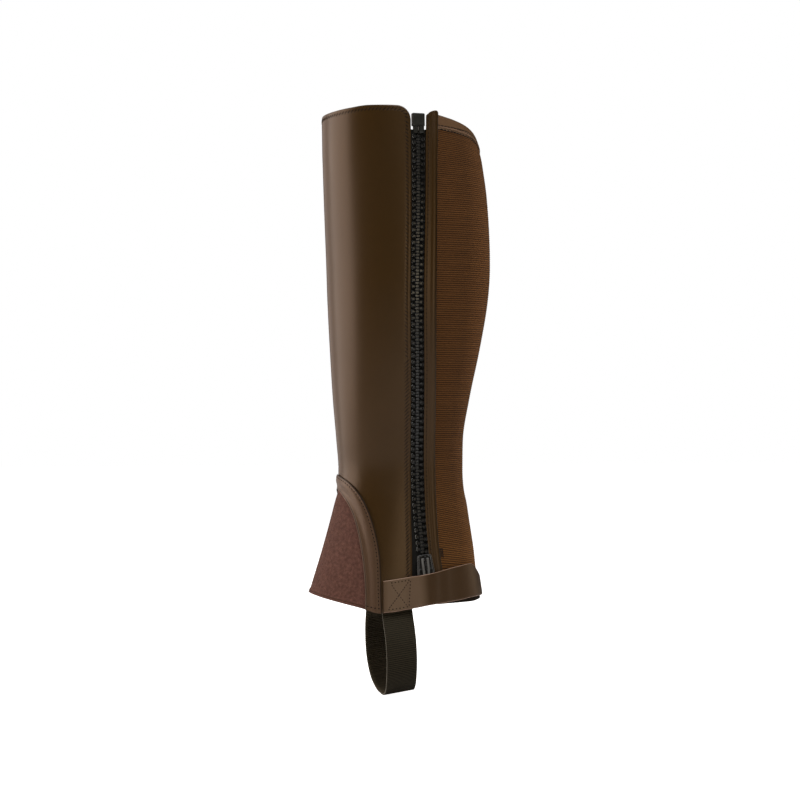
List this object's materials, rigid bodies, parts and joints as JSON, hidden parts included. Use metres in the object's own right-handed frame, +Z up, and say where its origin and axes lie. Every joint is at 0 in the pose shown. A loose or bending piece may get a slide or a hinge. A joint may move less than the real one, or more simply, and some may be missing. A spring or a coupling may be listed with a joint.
{
  "type": "half chap",
  "caption": "Leather riding half chap for the left leg with an outer zip, an elastic calf panel, an elastic gusset over the instep, an ankle strap and an elastic foot loop.",
  "frame": {"origin": "on the leg's axis inside the tube, level with the widest part of the calf, where the wearer's leg holds the part up", "axes": "+Z up the leg, +X towards the calf and -X towards the shin, -Y towards the leg's outer side with the zip, +Y towards its inner side"},
  "size_m": [0.1546, 0.1116, 0.4944],
  "materials": {
    "shin_leather": "smooth dark brown, satin",
    "facing_leather": "smooth dark brown, satin",
    "strap_leather": "smooth dark brown, satin",
    "binding_leather": "thin, smooth brown, satin",
    "calf_elastic": "ribbed brown elastic, matte",
    "gusset_elastic": "fine reddish-brown elastic, matte",
    "foot_elastic": "ribbed black elastic webbing, matte",
    "zip_tape": "black woven tape, matte",
    "zip_teeth": "black moulded plastic, satin",
    "zip_box": "black moulded plastic, satin",
    "zip_slider": "black enamelled metal, glossy edges",
    "snap_cap": "dark bronzed metal, satin"
  },
  "bodies": {
    "chap": {"shin_panel": "shin_leather", "calf_panel": "calf_elastic", "calf_top_binding": "binding_leather", "zip_facing": "facing_leather", "zip_tape_front": "zip_tape", "zip_tape_back": "zip_tape", "zip_chain": "zip_teeth", "zip_retainer": "zip_box", "zip_slider": "zip_slider", "front_gusset": "gusset_elastic", "gusset_binding": "binding_leather", "ankle_strap": "strap_leather", "strap_snap": "snap_cap", "foot_strap": "foot_elastic"},
    "zip_pull": {"zip_pull": "zip_slider"}
  },
  "joints": [
    {"name": "pull_swing", "type": "hinge", "parent": "chap", "child": "zip_pull", "pos_m": [0.00734, -0.04352, -0.2469], "axis": [-0.9848, -0.1445, -0.0968], "range_deg": [0, 2.5]}
  ]
}
